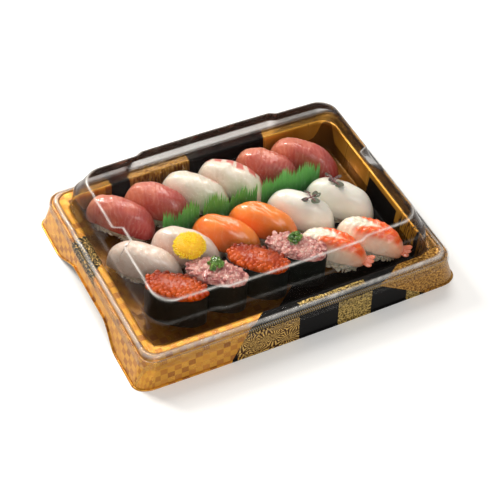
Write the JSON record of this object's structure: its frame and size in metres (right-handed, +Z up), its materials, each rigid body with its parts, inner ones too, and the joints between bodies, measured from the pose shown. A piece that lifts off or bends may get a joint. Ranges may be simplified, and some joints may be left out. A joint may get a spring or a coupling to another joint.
{
  "type": "sushi tray",
  "caption": "Rectangular takeaway sushi tray with a printed base, a clear shut lid and rows of nigiri and gunkan sushi inside.",
  "frame": {"origin": "middle of the tray's footprint, on the table it stands on", "axes": "+X along the long front side to the right, +Y to the back, +Z up"},
  "size_m": [0.3134, 0.226, 0.0705],
  "materials": {
    "tuna": "moist raw tuna, fine grain",
    "bream": "moist translucent white fish",
    "flounder": "moist translucent white fish",
    "salmon": "moist raw salmon, pale lines",
    "squid": "moist white squid",
    "shrimp": "boiled shrimp, banded orange and white",
    "rice": "moist cooked rice",
    "nori": "dried seaweed sheet",
    "ikura": "wet salmon roe",
    "negitoro": "minced tuna",
    "onion": "chopped green onion",
    "flower": "chrysanthemum petals",
    "grass": "cut green film",
    "sprout": "cress leaves",
    "printed_tray": "printed thermoformed sheet in gold, brown and black",
    "clear_lid": "clear thermoformed plastic sheet"
  },
  "bodies": {
    "root": {"tuna_1_rice": "rice", "tuna_1_slice": "tuna", "tuna_2_rice": "rice", "tuna_2_slice": "tuna", "bream_1_rice": "rice", "bream_1_slice": "bream", "bream_2_rice": "rice", "bream_2_slice": "bream", "tuna_3_rice": "rice", "tuna_3_slice": "tuna", "tuna_4_rice": "rice", "tuna_4_slice": "tuna", "flounder_1_rice": "rice", "flounder_1_slice": "flounder", "flounder_2_rice": "rice", "flounder_2_slice": "flounder", "salmon_1_rice": "rice", "salmon_1_slice": "salmon", "salmon_2_rice": "rice", "salmon_2_slice": "salmon", "squid_1_rice": "rice", "squid_1_sheet": "squid", "squid_2_rice": "rice", "squid_2_sheet": "squid", "shrimp_1_rice": "rice", "shrimp_1_body": "shrimp", "shrimp_2_rice": "rice", "shrimp_2_body": "shrimp", "gunkan_1_nori": "nori", "gunkan_1_rice": "rice", "gunkan_1_ikura": "ikura", "gunkan_2_nori": "nori", "gunkan_2_rice": "rice", "gunkan_2_negitoro": "negitoro", "gunkan_2_onion": "onion", "gunkan_3_nori": "nori", "gunkan_3_rice": "rice", "gunkan_3_ikura": "ikura", "gunkan_4_nori": "nori", "gunkan_4_rice": "rice", "gunkan_4_negitoro": "negitoro", "gunkan_4_onion": "onion", "chrysanthemum": "flower", "grass_1": "grass", "grass_2": "grass", "grass_3": "grass", "sprout_1": "sprout", "sprout_2": "sprout", "tray": "printed_tray", "lid": "clear_lid"}
  },
  "joints": []
}
